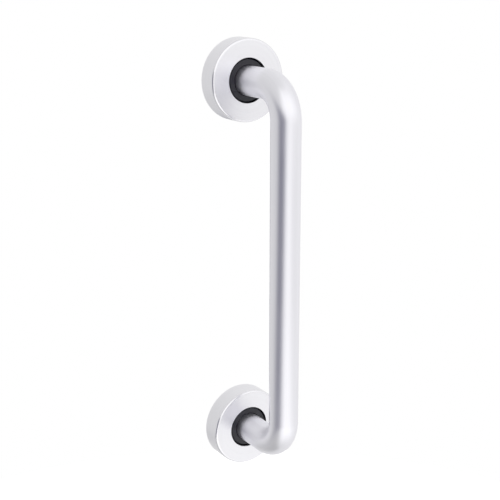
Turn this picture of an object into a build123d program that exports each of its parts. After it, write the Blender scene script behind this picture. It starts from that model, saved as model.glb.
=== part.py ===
from build123d import *

import os
from math import radians, tan

# D pull handle for a door: a round bar bent into a D. Each end of the bar sits in a moulded base
# that is screwed to the door, and a rose cover slides down the bar's leg and pushes over the base.
# The door face is the plane Y = 0 and the handle stands out of it towards -Y, its grip upright along Z.
# The origin lies on the door face, midway between the two roses. All sizes are in millimetres.

# Grip bar
bar_diameter = 18.0
fixing_centres = 225.0  # between the axes of the two legs
projection = 61.5  # from the door face to the front of the grip
bend_radius = 20.0  # at the bar's axis

# Countersunk screws that hold the bases on the bar
thread_diameter = 6.0
screw_length = 20.0
screw_head_diameter = 11.3
screw_recess = 0.3  # the head sits this far inside the base's back
screw_hole_clearance = 0.2
screw_seat_clearance = 0.05
hex_socket_width = 4.0  # across flats
hex_socket_depth = 2.2
thread_clearance = 0.05
tapping_run_out = 4.0  # tapped depth beyond the screw's end
drill_point_angle = 118.0

# Holes for the wood screws that fix the bases to the door
door_screw_hole_diameter = 4.5
door_screw_head_diameter = 8.2
door_screw_clearance = 0.45  # beside the screw's head, to the collar and to the rim
door_screw_drop = 3.2  # from the rim's top down to the flat seat under the screw's head
door_screw_boss_edge = 1.0  # the boss reaches this far beyond the screw's head

# Moulded bases
socket_clearance = 0.05  # round the bar
collar_wall = 3.65
collar_edge = 0.4  # chamfers on the collar's front
collar_recess = 0.8  # the collar stays this far behind the cover's front face
seat_floor = 1.5  # left between the bar's end and the countersink under it
rim_wall = 1.5
web_count = 8  # places for webs; the two at the door screws have bosses instead
web_thickness = 1.6
web_drop = 2.5  # the webs stop this far short of the rim's top
grip_rib_count = 8  # small upright ribs that hold the cover
grip_rib_width = 1.2  # at the rim
grip_rib_start = 1.5  # above the door face, so that the cover's mouth starts freely
grip_rib_height = 8.0
grip_rib_clearance = 0.1

# Rose covers
cover_stand = 13.0  # from the door face to the cover's front face
cover_wall = 1.4
cover_face = 1.8  # thickness of the front face
cover_gap = 0.3  # round the base's rim
cover_lift = 0.2  # the cover's mouth stays this far off the door
cover_edge = 0.7  # chamfer round the front face
collar_gap = 0.8  # between the cover's hole and the collar in it
cover_hole_edge = 0.3

# Radii from a leg's axis, worked out from the bar outwards
bar_radius = bar_diameter / 2
thread_radius = thread_diameter / 2
screw_head_radius = screw_head_diameter / 2
screw_hole_radius = thread_radius + screw_hole_clearance
door_screw_hole_radius = door_screw_hole_diameter / 2
door_screw_head_radius = door_screw_head_diameter / 2
socket_radius = bar_radius + socket_clearance
collar_radius = socket_radius + collar_wall
cover_hole_radius = collar_radius + collar_gap
door_screw_place = collar_radius + door_screw_clearance + door_screw_head_radius
rim_bore = door_screw_place + door_screw_head_radius + door_screw_clearance
rim_radius = rim_bore + rim_wall
cover_bore = rim_radius + cover_gap
cover_radius = cover_bore + cover_wall

# Levels above the door face
screw_cone_end = screw_recess + screw_head_radius - thread_radius  # the head's cone is a 90 degree one
screw_end = screw_recess + screw_length
bar_end = screw_cone_end + seat_floor
rim_level = cover_stand - cover_face  # the cover's face rests on the rim here
collar_level = cover_stand - collar_recess
web_level = rim_level - web_drop
door_screw_seat = rim_level - door_screw_drop


def rose_frame(side):
    """Frame of the upper (1) or lower (-1) rose: origin on the door face, Z out of the door, Y up."""
    return Plane(origin=(0, 0, side * fixing_centres / 2), x_dir=(1, 0, 0), z_dir=(0, -1, 0))


def turned(*outline):
    """Solid turned about Z from an outline of (radius, level) points."""
    return revolve(Plane.XZ * make_face(Polyline(*outline, close=True)), Axis.Z)


def rims_at(solid, radius, level):
    """The circular edges of a turned solid that have this radius and lie at this level."""
    circles = solid.edges().filter_by(GeomType.CIRCLE)
    return circles.filter_by(lambda e: abs(e.radius - radius) < 1e-6 and abs(e.center().Z - level) < 1e-6)


def make_grip_bar():
    leg = fixing_centres / 2
    grip = bar_radius - projection
    route = FilletPolyline(
        (0, -bar_end, leg),
        (0, grip, leg),
        (0, grip, -leg),
        (0, -bar_end, -leg),
        radius=bend_radius,
    )
    bar = sweep(Plane(origin=route @ 0, z_dir=route % 0) * Circle(bar_radius), path=route)

    # Tapped hole in each end, drawn at the thread's outside diameter, with a drill point
    tapped_radius = thread_radius + thread_clearance
    tapped_end = screw_end + tapping_run_out
    tapped_hole = turned(
        (0, bar_end),
        (tapped_radius, bar_end),
        (tapped_radius, tapped_end),
        (0, tapped_end + tapped_radius / tan(radians(drill_point_angle / 2))),
    )
    for side in (1, -1):
        bar -= rose_frame(side) * tapped_hole
    return bar


def make_screw():
    screw = turned(
        (0, screw_recess),
        (screw_head_radius, screw_recess),
        (thread_radius, screw_cone_end),
        (thread_radius, screw_end),
        (0, screw_end),
    )
    socket = extrude(RegularPolygon(hex_socket_width / 2, 6, major_radius=False), hex_socket_depth)
    return screw - Pos(0, 0, screw_recess) * socket


def make_base():
    # On the countersink's 90 degree cone, radius and level add up to its radius at the back face
    countersink_radius = screw_recess + screw_head_radius + screw_seat_clearance * 2**0.5

    # Plate, rim and collar in one section, with the bar's socket and the countersink under it
    base = turned(
        (countersink_radius, 0),
        (rim_radius, 0),
        (rim_radius, rim_level),
        (rim_bore, rim_level),
        (rim_bore, bar_end),
        (collar_radius, bar_end),
        (collar_radius, collar_level),
        (socket_radius, collar_level),
        (socket_radius, bar_end),
        (screw_hole_radius, bar_end),
        (screw_hole_radius, countersink_radius - screw_hole_radius),
    )
    base = chamfer(rims_at(base, collar_radius, collar_level), collar_edge)
    base = chamfer(rims_at(base, socket_radius, collar_level), collar_edge)

    # Webs from the collar to the rim, left out where the door screws go
    web_start = collar_radius - collar_wall / 2
    web_end = rim_bore + rim_wall / 2
    web = Pos(web_start, 0, bar_end) * Box(
        web_end - web_start, web_thickness, web_level - bar_end, align=(Align.MIN, Align.CENTER, Align.MIN)
    )
    for place in range(web_count):
        if place % (web_count // 2):
            base += Rot(0, 0, place * 360 / web_count) * web

    # Small upright ribs round the rim that grip the cover's bore; their section is a V rooted in the rim
    rib_tip = cover_bore - grip_rib_clearance
    rib_root = rim_radius - rim_wall / 2
    root_width = grip_rib_width * (rib_tip - rib_root) / (rib_tip - rim_radius)
    rib_section = Polygon(
        (rib_tip, 0), (rib_root, root_width / 2), (rib_root, -root_width / 2), align=None
    )
    rib = Pos(0, 0, grip_rib_start) * extrude(rib_section, grip_rib_height)
    for place in range(grip_rib_count):
        base += Rot(0, 0, (place + 0.5) * 360 / grip_rib_count) * rib

    # Bosses for the door screws, which join the collar to the rim
    upright = (Align.CENTER, Align.CENTER, Align.MIN)
    boss_radius = door_screw_head_radius + door_screw_boss_edge
    boss = Pos(0, 0, bar_end) * Cylinder(boss_radius, door_screw_seat - bar_end, align=upright)
    door_screw_hole = Cylinder(door_screw_hole_radius, door_screw_seat, align=upright)
    for side in (1, -1):
        place = Pos(side * door_screw_place, 0, 0)
        base += place * boss
        base -= place * door_screw_hole
    return base


def make_rose_cover():
    cover = turned(
        (cover_hole_radius, rim_level),
        (cover_bore, rim_level),
        (cover_bore, cover_lift),
        (cover_radius, cover_lift),
        (cover_radius, cover_stand),
        (cover_hole_radius, cover_stand),
    )
    cover = chamfer(rims_at(cover, cover_radius, cover_stand), cover_edge)
    return chamfer(rims_at(cover, cover_hole_radius, cover_stand), cover_hole_edge)


base = make_base()
rose_cover = make_rose_cover()
screw = make_screw()
nodes = {"grip_bar": make_grip_bar()}
for name, side in (("upper", 1), ("lower", -1)):
    nodes[name + "_base"] = rose_frame(side) * base
    nodes[name + "_rose_cover"] = rose_frame(side) * rose_cover
nodes["bar_screws"] = Compound([rose_frame(side) * screw for side in (1, -1)])

os.makedirs("parts", exist_ok=True)
for name, shape in nodes.items():
    export_step(shape, os.path.join("parts", name + ".step"))
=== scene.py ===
import math

import bmesh
import bpy
from mathutils import Matrix, Vector


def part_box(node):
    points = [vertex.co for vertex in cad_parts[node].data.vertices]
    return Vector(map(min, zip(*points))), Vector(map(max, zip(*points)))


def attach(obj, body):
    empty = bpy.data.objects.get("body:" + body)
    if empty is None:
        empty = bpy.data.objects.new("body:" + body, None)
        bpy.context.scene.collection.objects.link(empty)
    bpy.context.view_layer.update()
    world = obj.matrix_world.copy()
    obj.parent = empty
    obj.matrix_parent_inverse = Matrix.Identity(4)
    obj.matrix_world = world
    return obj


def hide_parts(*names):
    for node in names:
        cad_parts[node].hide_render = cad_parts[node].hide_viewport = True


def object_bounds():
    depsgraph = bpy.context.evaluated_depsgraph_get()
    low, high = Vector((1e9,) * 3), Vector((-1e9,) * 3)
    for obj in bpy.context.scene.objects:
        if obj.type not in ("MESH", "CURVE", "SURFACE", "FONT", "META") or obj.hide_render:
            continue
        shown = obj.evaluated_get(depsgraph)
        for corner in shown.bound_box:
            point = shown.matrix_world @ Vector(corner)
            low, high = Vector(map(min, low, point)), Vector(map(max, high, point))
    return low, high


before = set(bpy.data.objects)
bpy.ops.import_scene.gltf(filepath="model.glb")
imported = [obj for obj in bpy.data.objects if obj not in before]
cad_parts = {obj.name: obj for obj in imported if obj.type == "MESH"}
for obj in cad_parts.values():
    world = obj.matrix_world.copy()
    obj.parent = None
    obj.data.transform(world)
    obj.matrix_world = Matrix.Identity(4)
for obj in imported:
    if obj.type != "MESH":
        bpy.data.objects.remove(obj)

mm = 0.001
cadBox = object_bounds()
barLow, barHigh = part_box("grip_bar")
coverLow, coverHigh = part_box("upper_rose_cover")
screwLow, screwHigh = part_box("bar_screws")
legHeight = (coverLow.z + coverHigh.z) / 2  # the two legs stand at plus and minus this height

# Meshes: every new piece is a skin over rings of points.
# Its "grain" map counts metres or turns, U across the brush lines and V along them.
sharpFold = math.radians(40)  # edges that fold by more than this are shaded sharp


def turnSteps(columns):
    return [2 * math.pi * c / columns for c in range(columns)]


def circle(radius):
    return lambda turn: radius


def legRing(height, level, columns, radiusAt):
    # a ring round the leg at this height; level counts out from the door
    places = []
    for turn in turnSteps(columns):
        radius = radiusAt(turn)
        places.append(Vector((radius * math.cos(turn), -level, height + radius * math.sin(turn))))
    return places


def roundedOutline(corners, steps, support):
    # corners are (radius, level, rounding); each flat gets a support point so that it shades flat
    points = []
    for k, (radius, level, rounding) in enumerate(corners):
        here = Vector((radius, level))
        toBefore = (Vector(corners[k - 1][:2]) - here).normalized()
        toAfter = (Vector(corners[(k + 1) % len(corners)][:2]) - here).normalized()
        half = toBefore.angle(toAfter) / 2
        reach = rounding / math.tan(half)
        centre = here + (toBefore + toAfter).normalized() * rounding / math.sin(half)
        start = (here + toBefore * reach - centre).normalized()
        end = (here + toAfter * reach - centre).normalized()
        points.append(here + toBefore * (reach + support))
        points.extend(centre + rounding * start.slerp(end, s / steps) for s in range(steps + 1))
        points.append(here + toAfter * (reach + support))
    return points


def lengthMarks(points):
    marks = [0.0]
    for before, after in zip(points, points[1:]):
        marks.append(marks[-1] + (after - before).length)
    return marks


def ringSkin(name, rings, marks, around, turned, closed=False):
    # turned: the brush lines run round the rings; otherwise they run from ring to ring
    columns = max(len(ring) for ring in rings)
    starts = []
    places = []
    for ring in rings:
        starts.append(len(places))
        places.extend(ring)
    pairs = [(k, k + 1) for k in range(len(rings) - 1)]
    if closed:
        pairs.append((len(rings) - 1, len(rings)))
    faces = []
    grain = []
    for here, there in pairs:
        for c in range(columns):
            corners = [(here, c), (here, c + 1), (there, c + 1), (there, c)]
            if len(rings[here]) == 1:  # a tip of one point, so the faces are triangles
                corners.pop(1)
            elif len(rings[there % len(rings)]) == 1:
                corners.pop(2)
            face = []
            for r, column in corners:
                ring = r % len(rings)
                face.append(starts[ring] + column % len(rings[ring]))
                spot = column / columns * around
                grain.append((marks[r], spot) if turned else (spot, marks[r]))
            faces.append(face)
    mesh = bpy.data.meshes.new(name)
    mesh.from_pydata(places, [], faces)
    layer = mesh.uv_layers.new(name="grain")
    for loop, spot in zip(layer.data, grain):
        loop.uv = spot
    work = bmesh.new()
    work.from_mesh(mesh)
    bmesh.ops.recalc_face_normals(work, faces=work.faces)
    work.to_mesh(mesh)
    work.free()
    mesh.polygons.foreach_set("use_smooth", [True] * len(mesh.polygons))
    mesh.set_sharp_from_angle(angle=sharpFold)
    piece = bpy.data.objects.new(name, mesh)
    bpy.context.scene.collection.objects.link(piece)
    return piece


# Shader helpers: a value given to a socket is a constant or another node's output
mixSockets = {"FLOAT": (0, 2, 3, 0), "RGBA": (0, 6, 7, 2)}  # factor, first, second and the result


def feed(socket, value):
    if isinstance(value, bpy.types.NodeSocket):
        socket.id_data.links.new(value, socket)
    else:
        socket.default_value = value


def setInputs(node, **values):
    for key, value in values.items():
        feed(node.inputs[key.replace("_", " ")], value)


def addNode(tree, kind, **settings):
    node = tree.nodes.new(kind)
    for key, value in settings.items():
        setattr(node, key, value)
    return node


def mathNode(tree, operation, *values):
    node = addNode(tree, "ShaderNodeMath", operation=operation)
    for socket, value in zip(node.inputs, values):
        feed(socket, value)
    return node.outputs["Value"]


def scaledVector(tree, vector, scale):
    node = addNode(tree, "ShaderNodeVectorMath", operation="MULTIPLY")
    feed(node.inputs[0], vector)
    feed(node.inputs[1], scale)
    return node.outputs["Vector"]


def mixNode(tree, kind, factor, first, second):
    node = addNode(tree, "ShaderNodeMix", data_type=kind)
    *places, result = mixSockets[kind]
    for place, value in zip(places, (factor, first, second)):
        feed(node.inputs[place], value)
    return node.outputs[result]


def rampNode(tree, source, span, low=0.0, high=1.0, shape="SMOOTHSTEP"):
    node = addNode(tree, "ShaderNodeMapRange", interpolation_type=shape)
    setInputs(node, Value=source, From_Min=span[0], From_Max=span[1], To_Min=low, To_Max=high)
    return node.outputs["Result"]


def noiseNode(tree, **values):
    node = addNode(tree, "ShaderNodeTexNoise")
    setInputs(node, **values)
    return node.outputs["Fac"]


def placeGroup(tree, group, **values):
    node = addNode(tree, "ShaderNodeGroup", node_tree=group)
    setInputs(node, **values)
    return node


def newGroup(name, inputs, outputs):
    group = bpy.data.node_groups.new(name, "ShaderNodeTree")
    for label, kind in inputs:
        group.interface.new_socket(name=label, in_out="INPUT", socket_type=kind)
    for label, kind in outputs:
        group.interface.new_socket(name=label, in_out="OUTPUT", socket_type=kind)
    return group, group.nodes.new("NodeGroupInput"), group.nodes.new("NodeGroupOutput")


def newMaterial(name):
    material = bpy.data.materials.new(name)
    material.use_nodes = True
    tree = material.node_tree
    return material, tree, tree.nodes["Principled BSDF"]


# Brush lines: fine hairlines over broader streaks, drawn out along the second and third axis
brushGrain = {
    "hairlines": {"Scale": 1.0, "Detail": 4.0, "Roughness": 0.7},
    "streaks": {"Scale": 1.0, "Detail": 2.0, "Roughness": 0.5},
    "streakStretch": (0.11, 0.35, 0.35),  # the smaller, the broader the streaks are
    "maskSpan": (0.3, 0.7),
}


def makeBrushLines(sizes):
    group, given, out = newGroup(
        "brushLines",
        [("Vector", "NodeSocketVector"), ("Streaks", "NodeSocketFloat")],
        [("Height", "NodeSocketFloat"), ("Mask", "NodeSocketFloat")],
    )
    vector = given.outputs["Vector"]
    hairlines = noiseNode(group, Vector=vector, **sizes["hairlines"])
    wider = scaledVector(group, vector, sizes["streakStretch"])
    streaks = noiseNode(group, Vector=wider, **sizes["streaks"])
    blend = mixNode(group, "FLOAT", given.outputs["Streaks"], hairlines, streaks)
    setInputs(out, Height=hairlines, Mask=rampNode(group, blend, sizes["maskSpan"], shape="LINEAR"))
    return group


# Haze: soft patches where a surface is a touch duller, as hands and moulding leave them
hazeCloud = {
    "noise": {"Detail": 3.0, "Roughness": 0.55, "Distortion": 0.3},
    "maskSpan": (0.38, 0.66),
}


def makeHaze(sizes):
    group, given, out = newGroup(
        "haze",
        [("Patches", "NodeSocketFloat")],
        [("Mask", "NodeSocketFloat")],
    )
    place = addNode(group, "ShaderNodeTexCoord").outputs["Object"]
    patches = noiseNode(group, Vector=place, Scale=given.outputs["Patches"], **sizes["noise"])
    setInputs(out, Mask=rampNode(group, patches, sizes["maskSpan"]))
    return group


brushLines = makeBrushLines(brushGrain)
haze = makeHaze(hazeCloud)


# What all finishes share: colour and roughness between two values each, and a fine bump
def roughBetween(tree, finish, mask):
    return rampNode(tree, mask, (0, 1), finish["roughLow"], finish["roughHigh"], shape="LINEAR")


def dressShader(tree, shader, finish, toneMask, roughness, height):
    bump = addNode(tree, "ShaderNodeBump")
    setInputs(bump, Strength=finish["bumpStrength"], Distance=finish["bumpDistance"], Height=height)
    tone = mixNode(tree, "RGBA", toneMask, finish["light"], finish["dark"])
    setInputs(shader, Base_Color=tone, Roughness=roughness, Normal=bump.outputs["Normal"])


# Satin anodised aluminium, brushed along the bar and turned round on the roses
barFinish = {
    "name": "satinBar",
    "light": (0.915, 0.910, 0.950, 1),
    "dark": (0.870, 0.865, 0.905, 1),
    "roughLow": 0.29,
    "roughHigh": 0.35,
    "anisotropy": 0.2,
    "acrossScale": 9000,  # hairlines per metre, across the brushing
    "alongScale": 60,  # and along it
    "streaks": 0.4,
    "bumpStrength": 0.6,
    "bumpDistance": 0.000004,
    "hazePatches": 45,  # per metre
    "hazeShare": 0.35,  # of the roughness; the brush lines have the rest
    "dullAreas": {  # they fade in and out along the bar, counted from the middle of the grip
        "insideOfBends": {
            "rough": 0.60,
            "start": (86 * mm, 98 * mm),
            "end": (131 * mm, 119 * mm),
            "inside": (0.1, 0.8),  # 1 is the innermost line of the bend
        },
        "legs": {"rough": 0.48, "start": (116 * mm, 130 * mm), "end": (145 * mm, 136 * mm)},
    },
}
roseFinish = {
    "name": "satinRose",
    "light": (0.925, 0.920, 0.950, 1),
    "dark": (0.880, 0.875, 0.905, 1),
    "roughLow": 0.32,
    "roughHigh": 0.38,
    "anisotropy": 0.2,
    "acrossScale": 7000,
    "alongScale": 1.6,  # the lines close on themselves, so this is the size of their circle
    "streaks": 0.5,
    "bumpStrength": 0.6,
    "bumpDistance": 0.000005,
    "hazePatches": 60,
    "hazeShare": 0.35,
}
edgeFinish = {  # the roses' front edge, which hands and cloths keep brighter
    **roseFinish,
    "name": "rubbedEdge",
    "roughLow": 0.20,
    "roughHigh": 0.26,
    "bumpDistance": 0.000003,
}


def dulled(tree, apart, areas, roughness):
    inside = mathNode(tree, "SINE", mathNode(tree, "MULTIPLY", apart.outputs["X"], -1 / barHigh.x))
    away = mathNode(tree, "ABSOLUTE", apart.outputs["Y"])
    for area in areas.values():
        mask = 1.0
        for source, window in ((inside, "inside"), (away, "start"), (away, "end")):
            if window in area:
                mask = rampNode(tree, source, area[window], high=mask)
        roughness = mixNode(tree, "FLOAT", mask, roughness, area["rough"])
    return roughness


def makeSatin(finish, turned):
    material, tree, metal = newMaterial(finish["name"])
    grain = addNode(tree, "ShaderNodeUVMap", uv_map="grain")
    apart = addNode(tree, "ShaderNodeSeparateXYZ")
    setInputs(apart, Vector=grain.outputs["UV"])
    drawn = addNode(tree, "ShaderNodeCombineXYZ")
    setInputs(drawn, X=mathNode(tree, "MULTIPLY", apart.outputs["X"], finish["acrossScale"]))
    if turned:  # V counts turns, so its sine and cosine close the lines into rings
        angle = mathNode(tree, "MULTIPLY", apart.outputs["Y"], 2 * math.pi)
        for operation, axis in (("COSINE", "Y"), ("SINE", "Z")):
            wave = mathNode(tree, operation, angle)
            feed(drawn.inputs[axis], mathNode(tree, "MULTIPLY", wave, finish["alongScale"]))
    else:
        setInputs(drawn, Y=mathNode(tree, "MULTIPLY", apart.outputs["Y"], finish["alongScale"]))
    lines = placeGroup(tree, brushLines, Vector=drawn.outputs["Vector"], Streaks=finish["streaks"])
    dull = placeGroup(tree, haze, Patches=finish["hazePatches"])
    both = mixNode(tree, "FLOAT", finish["hazeShare"], lines.outputs["Mask"], dull.outputs["Mask"])
    roughness = roughBetween(tree, finish, both)
    if "dullAreas" in finish:
        roughness = dulled(tree, apart, finish["dullAreas"], roughness)
    dressShader(tree, metal, finish, lines.outputs["Mask"], roughness, lines.outputs["Height"])
    tangent = addNode(tree, "ShaderNodeTangent", direction_type="UV_MAP", uv_map="grain")
    setInputs(metal, Metallic=1.0, Anisotropic=finish["anisotropy"], Tangent=tangent.outputs["Tangent"])
    return material


# Black nylon of the moulded bases
nylonFinish = {
    "name": "blackNylon",
    "light": (0.009, 0.009, 0.017, 1),
    "dark": (0.006, 0.006, 0.012, 1),
    "roughLow": 0.30,
    "roughHigh": 0.42,
    "ior": 1.53,
    "specular": 0.5,
    "spark": {"Scale": 2600, "Detail": 2.0, "Roughness": 0.6},  # the fine grain of an eroded mould
    "bumpStrength": 0.5,
    "bumpDistance": 0.00002,
    "hazePatches": 220,
}


def makeNylon(finish):
    material, tree, plastic = newMaterial(finish["name"])
    place = addNode(tree, "ShaderNodeTexCoord").outputs["Object"]
    spark = noiseNode(tree, Vector=place, **finish["spark"])
    dull = placeGroup(tree, haze, Patches=finish["hazePatches"]).outputs["Mask"]
    dressShader(tree, plastic, finish, dull, roughBetween(tree, finish, dull), spark)
    setInputs(plastic, Metallic=0.0, IOR=finish["ior"], Specular_IOR_Level=finish["specular"])
    return material


# Bright zinc plating of the countersunk screws
zincFinish = {
    "name": "zincSteel",
    "light": (0.66, 0.66, 0.64, 1),
    "dark": (0.52, 0.53, 0.54, 1),
    "roughLow": 0.22,
    "roughHigh": 0.34,
    "grainScale": (5000, 1.0, 1.0),
    "streaks": 0.5,
    "bumpStrength": 0.5,
    "bumpDistance": 0.000004,
    "hazePatches": 500,
}
shadedSocketFinish = {  # painted shade: the socket in the screw's head is painted dark, as shade falls in its recess
    **zincFinish,
    "name": "paintedShadeSocket",
    "light": (0.13, 0.13, 0.125, 1),
    "dark": (0.07, 0.07, 0.07, 1),
    "roughLow": 0.38,
    "roughHigh": 0.52,
}


def makeZinc(finish):
    material, tree, metal = newMaterial(finish["name"])
    grain = addNode(tree, "ShaderNodeUVMap", uv_map="grain")
    drawn = scaledVector(tree, grain.outputs["UV"], finish["grainScale"])
    lines = placeGroup(tree, brushLines, Vector=drawn, Streaks=finish["streaks"])
    dull = placeGroup(tree, haze, Patches=finish["hazePatches"]).outputs["Mask"]
    dressShader(tree, metal, finish, dull, roughBetween(tree, finish, dull), lines.outputs["Height"])
    setInputs(metal, Metallic=1.0)
    return material


satinBar = makeSatin(barFinish, turned=False)
satinRose = makeSatin(roseFinish, turned=True)
rubbedEdge = makeSatin(edgeFinish, turned=True)
blackNylon = makeNylon(nylonFinish)
zincSteel = makeZinc(zincFinish)
# the screw socket's finish is painted shade, darker than the zinc around it
paintedShadeSocket = makeZinc(shadedSocketFinish)
print("finishes made")

# Grip bar: one skin from the drill point in one end, out round the bar and into the other end
gripBar = {
    "bendRadius": 20.0 * mm,  # at the bar's axis
    "tappedRadius": 3.05 * mm,
    "tappedDepth": 19.85 * mm,  # from the bar's end to the start of the drill point
    "drillPoint": 1.83 * mm,
    "endEdge": 0.25 * mm,
    "columns": 112,
    "bendSteps": 40,
    "straightSteps": 12,
}


def makeGripBar(sizes):
    radius = barHigh.x
    gripAxis = barLow.y + radius
    bend = sizes["bendRadius"]
    straightSteps = sizes["straightSteps"]

    def outside(lean):
        return Vector((0, -math.sin(lean), math.cos(lean)))

    def ring(centre, lean, size):
        out = outside(lean)
        turns = turnSteps(sizes["columns"])
        return [centre + size * (math.cos(t) * Vector((1, 0, 0)) + math.sin(t) * out) for t in turns]

    # Route of the upper half, from the leg's end to the middle of the grip: (centre, lean)
    bendCentre = Vector((0, gripAxis + bend, legHeight - bend))
    route = []
    for s in range(straightSteps):
        reach = s / straightSteps
        route.append((Vector((0, barHigh.y * (1 - reach) + bendCentre.y * reach, legHeight)), 0.0))
    for s in range(sizes["bendSteps"] + 1):
        lean = math.pi / 2 * s / sizes["bendSteps"]
        route.append((bendCentre + bend * outside(lean), lean))
    for s in range(1, straightSteps + 1):
        reach = s / straightSteps
        route.append((Vector((0, gripAxis, bendCentre.z * (1 - reach))), math.pi / 2))

    # Tapped hole and end face: (centre, size) from the drill point to the bar's outside
    mouth = Vector((0, barHigh.y, legHeight))
    inward = Vector((0, -1, 0))
    edge = sizes["endEdge"]
    end = [
        (mouth + inward * sizes["tappedDepth"], sizes["tappedRadius"]),
        (mouth + inward * edge, sizes["tappedRadius"]),
        (mouth, sizes["tappedRadius"] + edge),
        (mouth, radius - edge),
    ]
    route[0] = (mouth + inward * edge, 0.0)
    tip = mouth + inward * (sizes["tappedDepth"] + sizes["drillPoint"])

    # The lower half mirrors the upper one, and they share the ring in the middle of the grip
    rings = [[tip]] + [ring(centre, 0.0, size) for centre, size in end]
    rings += [ring(centre, lean, radius) for centre, lean in route]
    centres = [tip] + [centre for centre, size in end] + [centre for centre, lean in route]
    flip = Matrix.Diagonal((1, 1, -1))
    rings += [[flip @ place for place in half] for half in reversed(rings[:-1])]
    centres += [flip @ centre for centre in reversed(centres[:-1])]
    marks = lengthMarks(centres)
    marks = [mark - marks[-1] / 2 for mark in marks]  # counted from the middle of the grip
    return ringSkin("gripBar", rings, marks, 2 * math.pi * radius, turned=False)


gripBarPiece = makeGripBar(gripBar)
gripBarPiece.data.materials.append(satinBar)
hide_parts("grip_bar")
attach(gripBarPiece, "handle")
print("grip bar:", len(gripBarPiece.data.polygons), "faces")

# Rose covers: a turned cup with a round hole in its face
roseCover = {
    "holeRadius": 13.5 * mm,
    "wall": 1.4 * mm,
    "face": 1.8 * mm,
    "frontEdge": 1.3 * mm,
    "holeEdge": 0.3 * mm,
    "mouthEdge": 0.12 * mm,
    "insideCorner": 0.3 * mm,
    "steps": 6,  # in each rounding
    "support": 0.05 * mm,
    "columns": 176,
}


def makeRoseCover(name, height, sizes):
    outer = coverHigh.x
    front = -coverLow.y
    mouth = -coverHigh.y
    inner = outer - sizes["wall"]
    under = front - sizes["face"]
    steps = sizes["steps"]
    columns = sizes["columns"]
    frontCorner = (outer, front, sizes["frontEdge"])
    corners = [
        (inner, under, sizes["insideCorner"]),
        (inner, mouth, sizes["mouthEdge"]),
        (outer, mouth, sizes["mouthEdge"]),
        frontCorner,
        (sizes["holeRadius"], front, sizes["holeEdge"]),
        (sizes["holeRadius"], under, sizes["mouthEdge"]),
    ]
    outline = roundedOutline(corners, steps, sizes["support"])
    rings = [legRing(height, level, columns, circle(radius)) for radius, level in outline]
    piece = ringSkin(name, rings, lengthMarks(outline + outline[:1]), 1.0, turned=True, closed=True)
    piece.data.materials.append(satinRose)
    piece.data.materials.append(rubbedEdge)
    # All corners have as many points; the front one's rounding starts after its support point
    rubbedStart = corners.index(frontCorner) * len(outline) // len(corners) + 1
    for face in piece.data.polygons[rubbedStart * columns:(rubbedStart + steps) * columns]:
        face.material_index = 1
    return piece


for name, side in (("upper", 1), ("lower", -1)):
    rosePiece = makeRoseCover(name + "RoseCover", side * legHeight, roseCover)
    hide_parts(name + "_rose_cover")
    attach(rosePiece, name + "_cover")
print("rose covers:", len(rosePiece.data.polygons), "faces each")

# Countersunk screws: hexagon socket, cone and a rolled thread
barScrew = {
    "shank": 3.0 * mm,
    "pitch": 1.0 * mm,
    "threadDepth": 0.55 * mm,
    "threadFlat": 0.125,  # crest and root are each cut flat by this share of the depth
    "threadStart": 1.2 * mm,  # beyond the cone
    "threadTaper": 1.0 * mm,  # runs out over this length at both ends
    "rowsPerPitch": 10,
    "socketWidth": 4.0 * mm,
    "socketDepth": 2.2 * mm,
    "socketEdge": 0.2 * mm,
    "headLand": 0.15 * mm,
    "columns": 48,
}


def makeBarScrew(name, height, sizes):
    columns = sizes["columns"]
    back = -screwHigh.y
    end = -screwLow.y
    head = screwHigh.x
    shank = sizes["shank"]
    coneEnd = back + head - shank

    def ring(level, radiusAt):
        return legRing(height, level, columns, radiusAt)

    def tip(level):
        return [Vector((0, -level, height))]

    def hexagon(turn):
        side = math.pi / 3
        return sizes["socketWidth"] / 2 / math.cos((turn + side / 2) % side - side / 2)

    def hexagonEdge(turn):
        return hexagon(turn) + sizes["socketEdge"]

    def thread(level):
        start = coneEnd + sizes["threadStart"]
        run = min(level - start, end - level) / sizes["threadTaper"]
        depth = sizes["threadDepth"] * max(0.0, min(1.0, run))
        flat = sizes["threadFlat"]

        def radiusAt(turn):
            phase = (level / sizes["pitch"] - turn / (2 * math.pi)) % 1.0
            flank = abs(2 * phase - 1) * (1 + 2 * flat) - flat
            return shank - depth * max(0.0, min(1.0, flank))

        return radiusAt

    bottom = back + sizes["socketDepth"]
    land = sizes["headLand"]
    rings = [
        tip(bottom),
        ring(bottom, hexagon),
        ring(back + sizes["socketEdge"], hexagon),
        ring(back, hexagonEdge),
        ring(back, circle(head - land)),
        ring(back + land, circle(head - land)),
        ring(coneEnd, circle(shank)),
    ]
    rows = int((end - coneEnd) / sizes["pitch"] * sizes["rowsPerPitch"])
    for row in range(1, rows + 1):
        level = coneEnd + (end - coneEnd) * row / rows
        rings.append(ring(level, thread(level)))
    rings.append(tip(end))
    marks = lengthMarks([places[0] for places in rings])
    piece = ringSkin(name, rings, marks, 1.0, turned=True)
    piece.data.materials.append(zincSteel)
    piece.data.materials.append(paintedShadeSocket)
    # the socket's floor and walls take the painted shade
    for face in piece.data.polygons[:2 * columns]:  # the socket's floor and walls come first
        face.material_index = 1
    return piece


for name, side in (("upper", 1), ("lower", -1)):
    screwPiece = makeBarScrew(name + "BarScrew", side * legHeight, barScrew)
    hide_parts("bar_screws")
    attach(screwPiece, "handle")
print("bar screws:", len(screwPiece.data.polygons), "faces each")

# Moulded bases keep their solids and take the nylon
for name in ("upper_base", "lower_base"):
    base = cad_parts[name]
    base.data.materials.clear()
    base.data.materials.append(blackNylon)
print("bases dressed")

# Floor, well below the handle, which hangs as it does on a door
floor = {
    "drop": 0.30,
    "radius": 0.60,
    "columns": 96,
    "colour": (0.84, 0.84, 0.84, 1),
    "roughness": 0.9,
    "lift": 0.5,
}


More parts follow.
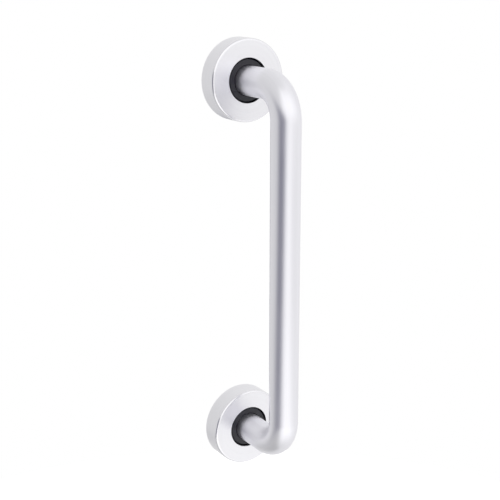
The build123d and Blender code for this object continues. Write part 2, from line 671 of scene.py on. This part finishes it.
def makeFloor(sizes):
    level = cadBox[0].z - sizes["drop"]
    radius = sizes["radius"]
    mesh = bpy.data.meshes.new("floor")
    rim = [(radius * math.cos(t), radius * math.sin(t), level) for t in turnSteps(sizes["columns"])]
    mesh.from_pydata(rim, [], [range(len(rim))])
    piece = bpy.data.objects.new("floor", mesh)
    bpy.context.scene.collection.objects.link(piece)
    piece.visible_glossy = False  # the metal shows the studio below it instead
    material, tree, paint = newMaterial("paleFloor")
    # Seen directly the floor is lifted to white, and the handle's shadow stays on it
    path = addNode(tree, "ShaderNodeLightPath")
    seen = mathNode(tree, "MAXIMUM", path.outputs["Is Camera Ray"], path.outputs["Is Transmission Ray"])
    lift = mathNode(tree, "MULTIPLY", seen, sizes["lift"])
    setInputs(paint, Base_Color=sizes["colour"], Roughness=sizes["roughness"], Specular_IOR_Level=0.0)
    setInputs(paint, Emission_Color=(1, 1, 1, 1), Emission_Strength=lift)
    mesh.materials.append(material)


makeFloor(floor)

# Studio: a pale surround with soft panels laid over it in turn. The last is a dark flag to the left of
# the camera that draws the dark line down the bar; another one far behind on the right does so for
# views from that side. Headings are in degrees, 0 straight in front and -90 to the left; a panel fades
# in over its left pair and out over its right pair, and likewise over its pairs of heights, where 1 is
# straight up and -1 straight down.
studio = {
    "leftSide": 0.73,
    "rightSide": 0.87,
    "sideFade": (-0.9, 0.9),  # from the left side to the right one, along X
    "seenLevel": 1.0,  # plain white behind the handle
    "panels": {
        "front": {
            "level": 1.08,
            "left": (-70, -38),
            "right": (130, -60),
            "below": (-1.0, -0.8),
            "above": (0.94, 0.90),
        },
        "highFront": {
            "level": 1.13,
            "left": (-66, -34),
            "right": (78, 12),
            "below": (0.02, 0.28),
            "above": (0.98, 0.62),
        },
        "lowFront": {
            "level": 1.26,
            "left": (-70, -38),
            "right": (75, 0),
            "below": (-0.98, -0.5),
            "above": (-0.34, -0.45),
        },
        "band": {
            "level": 0.82,
            "left": (0, 25),
            "right": (80, 50),
            "below": (-0.44, -0.36),
            "above": (-0.10, -0.18),
        },
        "lowLeft": {
            "level": 0.48,
            "left": (-180, -150),
            "right": (-60, -100),
            "below": (-1.1, -1.0),
            "above": (-0.22, -1.0),
        },
        "backFlag": {
            "level": 0.22,
            "tint": (1.0, 1.0, 1.2),
            "left": (142, 154),
            "right": (180, 168),
            "below": (-0.60, -0.35),
            "above": (0.12, -0.06),
        },
        "flag": {
            "level": 0.16,
            "tint": (1.0, 1.0, 1.35),
            "left": (-108, -67),
            "right": (-15, -49),
            "below": (-0.67, -0.39),
            "above": (0.39, 0.15),
            "lean": -45,  # degrees that it moves to the right over a height of 1
            "bow": 250,  # and to the left over the square of the height
        },
    },
}


def makeWorld(sizes):
    world = bpy.data.worlds.new("studio")
    bpy.context.scene.world = world
    world.use_nodes = True
    tree = world.node_tree
    where = addNode(tree, "ShaderNodeTexCoord")
    apart = addNode(tree, "ShaderNodeSeparateXYZ")
    setInputs(apart, Vector=where.outputs["Generated"])
    height = apart.outputs["Z"]

    def times(first, second):
        return mathNode(tree, "MULTIPLY", first, second)

    def window(source, rise, fall):
        return times(rampNode(tree, source, rise), rampNode(tree, source, fall))

    def laidOver(shade, factor, level, tint=(1, 1, 1)):
        return mixNode(tree, "RGBA", factor, shade, [level * part for part in tint] + [1])

    turn = mathNode(tree, "ARCTAN2", apart.outputs["X"], times(apart.outputs["Y"], -1.0))
    heading = times(turn, 180 / math.pi)
    shade = rampNode(tree, apart.outputs["X"], sizes["sideFade"], sizes["leftSide"], sizes["rightSide"])
    for panel in sizes["panels"].values():
        across = heading
        if "lean" in panel:
            slope = mathNode(tree, "SUBTRACT", times(height, panel["bow"]), panel["lean"])
            across = mathNode(tree, "ADD", heading, times(height, slope))
        sides = window(across, panel["left"], panel["right"])
        ends = window(height, panel["below"], panel["above"])
        shade = laidOver(shade, times(sides, ends), panel["level"], panel.get("tint", (1, 1, 1)))
    # Seen directly the surround is plain white, while the metal shows the panels
    path = addNode(tree, "ShaderNodeLightPath")
    shown = laidOver(shade, path.outputs["Is Camera Ray"], sizes["seenLevel"])
    setInputs(tree.nodes["Background"], Color=shown)


makeWorld(studio)


# Lamps and camera stand round the handle; azimuth 0 is straight in front and -90 to the left
def standing(azimuth, elevation):
    across = math.radians(azimuth)
    up = math.radians(elevation)
    return Vector((
        math.sin(across) * math.cos(up),
        -math.cos(across) * math.cos(up),
        math.sin(up),
    ))


lamps = {
    "keyLamp": {"azimuth": -5, "elevation": 50, "distance": 1.6, "size": 1.2, "power": 3.2},
    "fillLamp": {"azimuth": 100, "elevation": 30, "distance": 1.6, "size": 1.2, "power": 1.6},
}


def makeLamp(name, sizes):
    data = bpy.data.lights.new(name, "AREA")
    data.shape = "SQUARE"
    data.size = sizes["size"]
    data.energy = sizes["power"]
    back = standing(sizes["azimuth"], sizes["elevation"])
    lamp = bpy.data.objects.new(name, data)
    lamp.location = back * sizes["distance"]
    lamp.rotation_mode = "QUATERNION"
    lamp.rotation_quaternion = back.to_track_quat("Z", "Y")
    lamp.visible_glossy = False  # the metal shows the studio's panels instead
    bpy.context.scene.collection.objects.link(lamp)


for name, sizes in lamps.items():
    makeLamp(name, sizes)
print("stage lit")

# Camera at the photograph's angle
photoCamera = {
    "azimuth": -32.69,
    "elevation": 15.89,
    "roll": -0.05,
    "distance": 0.6234,
    "target": (-0.01005, -0.030, 0.01337),
    "lens": 74.47,
    "sensorWidth": 36.0,
    "clipStart": 0.01,
}


def makeCamera(sizes):
    back = standing(sizes["azimuth"], sizes["elevation"])
    right = Vector((0, 0, 1)).cross(back).normalized()
    up = back.cross(right)
    data = bpy.data.cameras.new("photoCamera")
    data.lens = sizes["lens"]
    data.sensor_width = sizes["sensorWidth"]
    data.clip_start = sizes["clipStart"]
    camera = bpy.data.objects.new("photoCamera", data)
    turn = Matrix.Rotation(math.radians(sizes["roll"]), 3, back)
    axes = Matrix((turn @ right, turn @ up, back)).transposed().to_4x4()
    camera.matrix_world = Matrix.Translation(Vector(sizes["target"]) + back * sizes["distance"]) @ axes
    bpy.context.scene.collection.objects.link(camera)
    bpy.context.scene.camera = camera


makeCamera(photoCamera)
bpy.context.scene.view_settings.view_transform = "Standard"
print("camera set")
